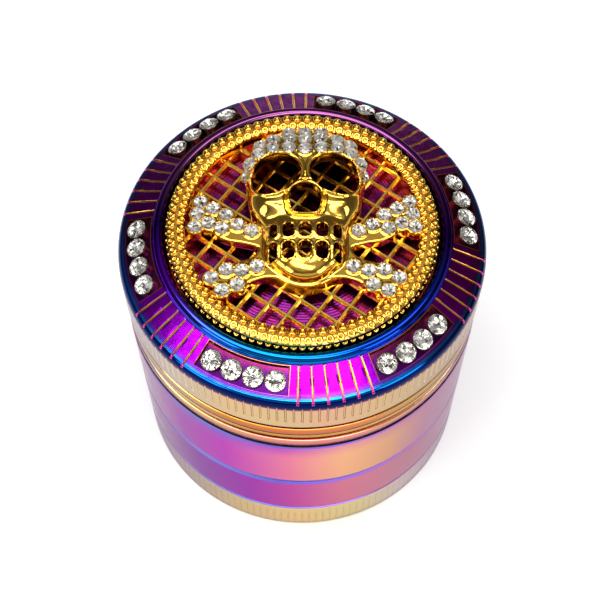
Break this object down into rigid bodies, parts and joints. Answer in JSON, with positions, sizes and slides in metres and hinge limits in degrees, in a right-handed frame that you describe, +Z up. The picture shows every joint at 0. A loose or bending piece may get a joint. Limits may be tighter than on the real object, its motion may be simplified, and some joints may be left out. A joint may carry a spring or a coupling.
{
  "type": "hand grinder",
  "caption": "Round stacking hand grinder with a toothed lid, a grinding chamber, a screened storage chamber and a cup; raised skull and crossbones medallion with clear stones on the lid.",
  "frame": {"origin": "centre of the flat base, on the surface that the grinder stands on", "axes": "+Z up along the common axis of the stacked parts; +Y from the skull's chin towards its crown, as seen from above"},
  "size_m": [0.05, 0.05, 0.0522],
  "materials": {
    "iridescent_plating": "rainbow plating over zinc alloy, mirror bright",
    "gold_plating": "bright gold plating over a zinc alloy casting",
    "clear_stone": "faceted clear glass with a foiled back",
    "nickel_magnet": "nickel plated",
    "steel_mesh": "fine woven stainless mesh",
    "steel_wire": "drawn stainless wire",
    "white_nylon": "plain nylon"
  },
  "bodies": {
    "cup": {"bottom_cup": "iridescent_plating"},
    "retaining_ring": {"screen_retaining_ring": "steel_wire"},
    "storage": {"storage_chamber": "iridescent_plating", "pollen_screen": "steel_mesh"},
    "magnet": {"chamber_magnet": "nickel_magnet"},
    "grinding": {"grinding_chamber": "iridescent_plating", "chamber_teeth": "iridescent_plating"},
    "friction_ring": {"friction_ring": "white_nylon"},
    "lid": {"lid_shell": "iridescent_plating", "lid_teeth": "iridescent_plating", "lid_magnet": "nickel_magnet", "filigree_plate": "gold_plating", "skull_and_crossbones": "gold_plating", "bezel_stones_1": "clear_stone", "bezel_stones_2": "clear_stone", "bezel_stones_3": "clear_stone", "bezel_stones_4": "clear_stone", "bezel_stones_5": "clear_stone", "bezel_stones_6": "clear_stone", "crown_stones": "clear_stone", "bone_stones_upper_left": "clear_stone", "bone_stones_upper_right": "clear_stone", "bone_stones_lower_left": "clear_stone", "bone_stones_lower_right": "clear_stone"}
  },
  "joints": [
    {"name": "storage_rise", "type": "slide", "parent": "cup", "child": "retaining_ring", "axis": [0, 0, 1], "range_m": [0, 0.003]},
    {"name": "storage_turn", "type": "hinge", "parent": "retaining_ring", "child": "storage", "pos_m": [0, 0, 0.011], "axis": [0, 0, 1], "range_deg": [0, 720]},
    {"name": "chamber_rise", "type": "slide", "parent": "storage", "child": "magnet", "axis": [0, 0, 1], "range_m": [0, 0.003]},
    {"name": "chamber_turn", "type": "hinge", "parent": "magnet", "child": "grinding", "pos_m": [0, 0, 0.025], "axis": [0, 0, 1], "range_deg": [0, 720]},
    {"name": "lid_lift", "type": "slide", "parent": "grinding", "child": "friction_ring", "axis": [0, 0, 1], "range_m": [0, 0.03]},
    {"name": "lid_spin", "type": "hinge", "parent": "friction_ring", "child": "lid", "pos_m": [0, 0, 0.04], "axis": [0, 0, 1], "continuous": true}
  ],
  "couplings": [
    {"joint": "storage_rise", "follows": "storage_turn", "m_per_rad": 0.00023873},
    {"joint": "chamber_rise", "follows": "chamber_turn", "m_per_rad": 0.00023873}
  ]
}
